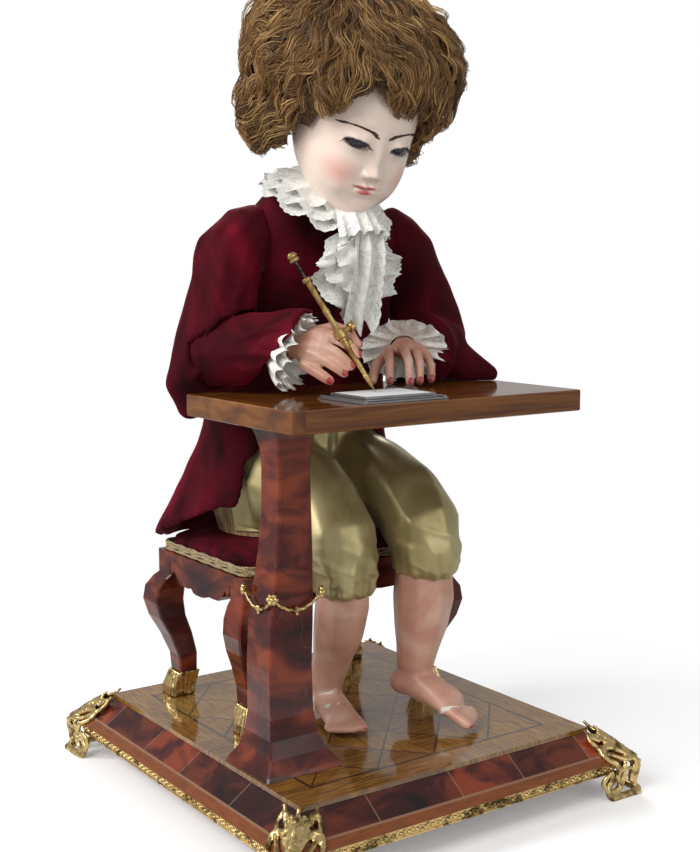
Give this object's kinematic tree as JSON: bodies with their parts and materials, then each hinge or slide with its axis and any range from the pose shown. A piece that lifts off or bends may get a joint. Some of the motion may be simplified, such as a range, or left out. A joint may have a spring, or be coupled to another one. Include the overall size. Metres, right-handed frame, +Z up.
{
  "type": "automaton doll",
  "caption": "Seated writing automaton doll in coat, breeches and lace on a stool, pen in hand at a small pedestal table, on a veneered plinth with gilt corner mounts.",
  "frame": {"origin": "middle of the plinth's footprint, on the floor", "axes": "+Z up; the doll faces -Y, so its left side is +X"},
  "size_m": [0.3968, 0.421, 0.7095],
  "materials": {
    "plinth_veneer": "gloss",
    "plinth_parquet": "gloss",
    "table_wood": "gloss",
    "pedestal_wood": "gloss",
    "stool_wood": "gloss",
    "gilt_bronze": "polished",
    "pen_brass": "satin",
    "pen_steel": "satin",
    "carriage_metal": "satin",
    "movement_brass": "satin",
    "card": "matte",
    "coat_velvet": "velvet",
    "pad_velvet": "velvet",
    "breeches_satin": "satin",
    "lace": "matte",
    "galloon": "matte",
    "carved_wood": "matte",
    "painted_skin": "painted",
    "painted_face": "painted gloss",
    "hair": "hair",
    "glass_eye": "gloss"
  },
  "bodies": {
    "plinth": {"plinth_core": "plinth_veneer", "plinth_top_panel": "plinth_parquet", "gilt_strip_back": "gilt_bronze", "gilt_strip_left": "gilt_bronze", "gilt_strip_front": "gilt_bronze", "gilt_strip_right": "gilt_bronze", "corner_mount_front_right": "gilt_bronze", "corner_mount_front_left": "gilt_bronze", "corner_mount_back_right": "gilt_bronze", "corner_mount_back_left": "gilt_bronze", "table_top": "table_wood", "table_pedestal": "pedestal_wood", "pedestal_garland": "gilt_bronze", "carriage_bed": "carriage_metal", "stool_frame": "stool_wood", "stool_leg_front_right": "stool_wood", "stool_leg_front_left": "stool_wood", "stool_leg_back_right": "stool_wood", "stool_leg_back_left": "stool_wood", "sabot_front_right": "gilt_bronze", "sabot_front_left": "gilt_bronze", "sabot_back_right": "gilt_bronze", "sabot_back_left": "gilt_bronze", "seat_pad": "pad_velvet", "seat_braid": "galloon", "torso_shell": "carved_wood", "coat_body": "coat_velvet", "left_arm_and_hand": "painted_skin", "leg_right": "painted_skin", "leg_left": "painted_skin", "breeches": "breeches_satin", "sleeve_left": "coat_velvet", "cuff_left": "lace", "collar_ruffle": "lace", "jabot": "lace", "movement_frame": "movement_brass"},
    "neck": {"neck_post": "carved_wood"},
    "head": {"head": "painted_face", "wig": "hair"},
    "eye_r": {"eye_right": "glass_eye"},
    "eye_l": {"eye_left": "glass_eye"},
    "upper_arm": {"right_upper_arm": "carved_wood", "sleeve_right_upper": "coat_velvet"},
    "forearm": {"right_forearm": "carved_wood", "sleeve_right_lower": "coat_velvet", "cuff_right": "lace"},
    "hand": {"right_hand": "painted_skin", "pen_nib": "gilt_bronze", "pen_tube": "pen_brass", "pen_clamp": "pen_brass"},
    "pen_plunger": {"pen_rod": "pen_steel"},
    "line_carriage": {"line_slide": "carriage_metal"},
    "letter_carriage": {"letter_slide": "carriage_metal", "paper_card": "card"},
    "barrel": {"mainspring_barrel": "movement_brass"},
    "cams": {"cam_stack": "movement_brass"},
    "fly": {"governor_fly": "carriage_metal"},
    "selector": {"selector_wheel": "movement_brass"},
    "door": {"back_door": "carved_wood", "coat_back_panel": "coat_velvet"}
  },
  "joints": [
    {"name": "neck_turn", "type": "hinge", "parent": "plinth", "child": "neck", "pos_m": [-0.012, 0.006, 0.52], "axis": [0, 0, 1], "range_deg": [-8, 8]},
    {"name": "head_nod", "type": "hinge", "parent": "neck", "child": "head", "pos_m": [-0.012, -0.0148, 0.55], "axis": [-0.9951, 0.0989, 0], "range_deg": [0, 7]},
    {"name": "eye_turn_right", "type": "hinge", "parent": "head", "child": "eye_r", "pos_m": [-0.03772, -0.07376, 0.567], "axis": [0.031, -0.5533, 0.8324], "range_deg": [-12, 12]},
    {"name": "eye_turn_left", "type": "hinge", "parent": "head", "child": "eye_l", "pos_m": [0.00286, -0.0778, 0.56281], "axis": [0.031, -0.5533, 0.8324], "range_deg": [-12, 12]},
    {"name": "shoulder_reach", "type": "hinge", "parent": "plinth", "child": "upper_arm", "pos_m": [-0.095, 0.022, 0.468], "axis": [-1, 0, 0], "range_deg": [0, 1.5]},
    {"name": "elbow_sweep", "type": "hinge", "parent": "upper_arm", "child": "forearm", "pos_m": [-0.117, 0.02, 0.391], "axis": [0, 0, 1], "range_deg": [-8, 18]},
    {"name": "wrist_lift", "type": "hinge", "parent": "forearm", "child": "hand", "pos_m": [-0.082, -0.052, 0.397], "axis": [-0.8994, -0.4372, 0], "range_deg": [0, 14]},
    {"name": "pen_pull", "type": "slide", "parent": "hand", "child": "pen_plunger", "axis": [-0.4118, 0.3279, 0.8502], "range_m": [0, 0.008]},
    {"name": "line_feed", "type": "slide", "parent": "plinth", "child": "line_carriage", "axis": [0, 1, 0], "range_m": [-0.006, 0.006]},
    {"name": "letter_feed", "type": "slide", "parent": "line_carriage", "child": "letter_carriage", "axis": [1, 0, 0], "range_m": [-0.012, 0.012]},
    {"name": "barrel_turn", "type": "hinge", "parent": "plinth", "child": "barrel", "pos_m": [0.0222, 0.062, 0.3], "axis": [0, 0, 1], "continuous": true},
    {"name": "cam_turn", "type": "hinge", "parent": "plinth", "child": "cams", "pos_m": [-0.003, 0.062, 0.3], "axis": [0, 0, 1], "continuous": true},
    {"name": "fly_turn", "type": "hinge", "parent": "plinth", "child": "fly", "pos_m": [-0.0282, 0.062, 0.3], "axis": [0, 0, 1], "continuous": true},
    {"name": "selector_turn", "type": "hinge", "parent": "plinth", "child": "selector", "pos_m": [-0.0282, 0.062, 0.262], "axis": [0, 0, 1], "continuous": true},
    {"name": "back_door_swing", "type": "hinge", "parent": "plinth", "child": "door", "pos_m": [0.0446, 0.15062, 0.268], "axis": [0, 0.3783, -0.9257], "range_deg": [0, 95]}
  ],
  "couplings": [
    {"joint": "eye_turn_left", "follows": "eye_turn_right", "ratio": 1},
    {"joint": "cam_turn", "follows": "barrel_turn", "ratio": -3},
    {"joint": "fly_turn", "follows": "barrel_turn", "ratio": 9},
    {"joint": "selector_turn", "follows": "barrel_turn", "ratio": 1}
  ]
}
